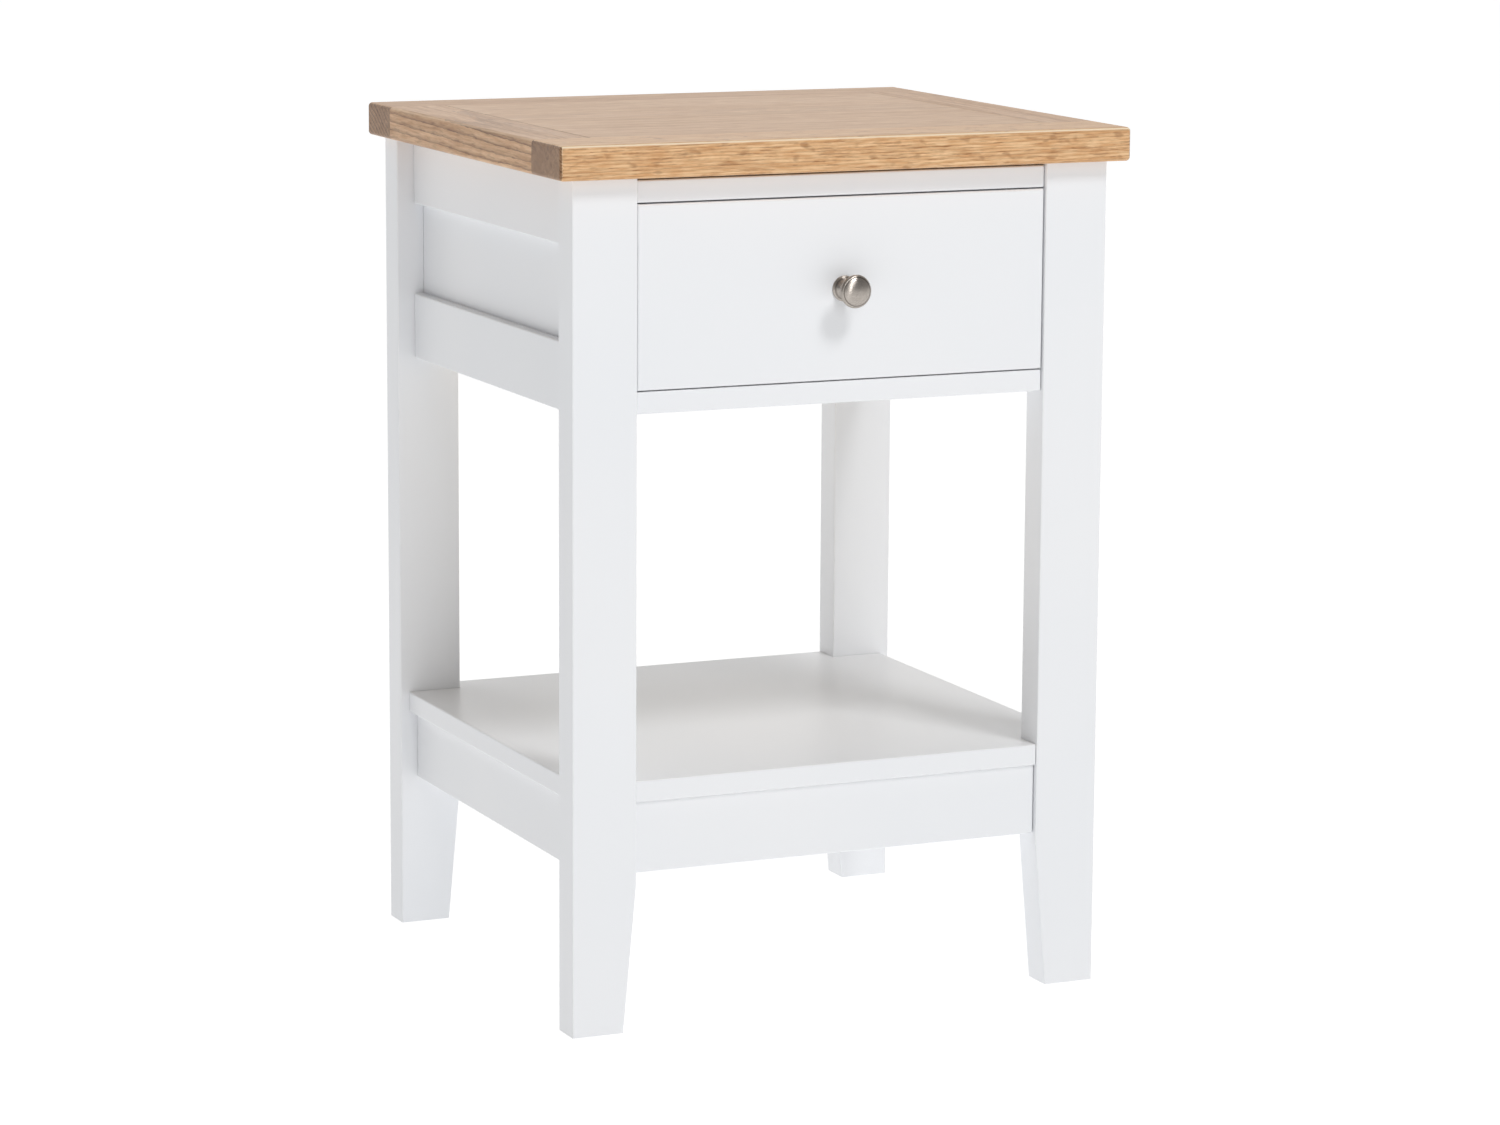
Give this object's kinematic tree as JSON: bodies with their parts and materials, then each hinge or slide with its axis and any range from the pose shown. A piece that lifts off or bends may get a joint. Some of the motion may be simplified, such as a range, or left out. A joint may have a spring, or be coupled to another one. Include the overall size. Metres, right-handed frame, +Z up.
{
  "type": "side table with drawer",
  "caption": "Small side table with a framed oak top, painted leg frame with tapered feet, a drawer with a round metal knob and a low shelf.",
  "frame": {"origin": "on the floor, on the centre line, half way between the front of the knob and the back of the top", "axes": "+Z up, +X to the right seen from the front, +Y towards the back, so the drawer opens along -Y"},
  "size_m": [0.453, 0.414, 0.65],
  "materials": {
    "oak": "matt lacquered oak",
    "white_paint": "wood with satin white paint",
    "bare_wood": "sanded pale wood",
    "brushed_nickel": "brushed nickel",
    "screw_steel": "bright zinc"
  },
  "bodies": {
    "frame": {"top_centre_panel": "oak", "top_front_strip": "oak", "top_back_strip": "oak", "top_left_strip": "oak", "top_right_strip": "oak", "leg_front_left": "white_paint", "leg_front_right": "white_paint", "leg_rear_left": "white_paint", "leg_rear_right": "white_paint", "front_top_rail": "white_paint", "front_lower_rail": "white_paint", "side_top_rail_left": "white_paint", "side_top_rail_right": "white_paint", "side_lower_rail_left": "white_paint", "side_lower_rail_right": "white_paint", "side_panel_left": "white_paint", "side_panel_right": "white_paint", "apron_left": "white_paint", "apron_right": "white_paint", "apron_front": "white_paint", "apron_back": "white_paint", "back_board": "white_paint", "shelf": "white_paint", "drawer_runner_left": "bare_wood", "drawer_runner_right": "bare_wood", "drawer_guide_left": "bare_wood", "drawer_guide_right": "bare_wood", "drawer_kicker_left": "bare_wood", "drawer_kicker_right": "bare_wood", "drawer_stop_left": "bare_wood", "drawer_stop_right": "bare_wood", "top_screws": "screw_steel"},
    "drawer": {"drawer_front": "white_paint", "drawer_side_left": "bare_wood", "drawer_side_right": "bare_wood", "drawer_back": "bare_wood", "drawer_bottom": "bare_wood", "knob": "brushed_nickel", "knob_screw": "screw_steel"}
  },
  "joints": [
    {"name": "drawer_slide", "type": "slide", "parent": "frame", "child": "drawer", "axis": [0, -1, 0], "range_m": [0, 0.25]}
  ]
}
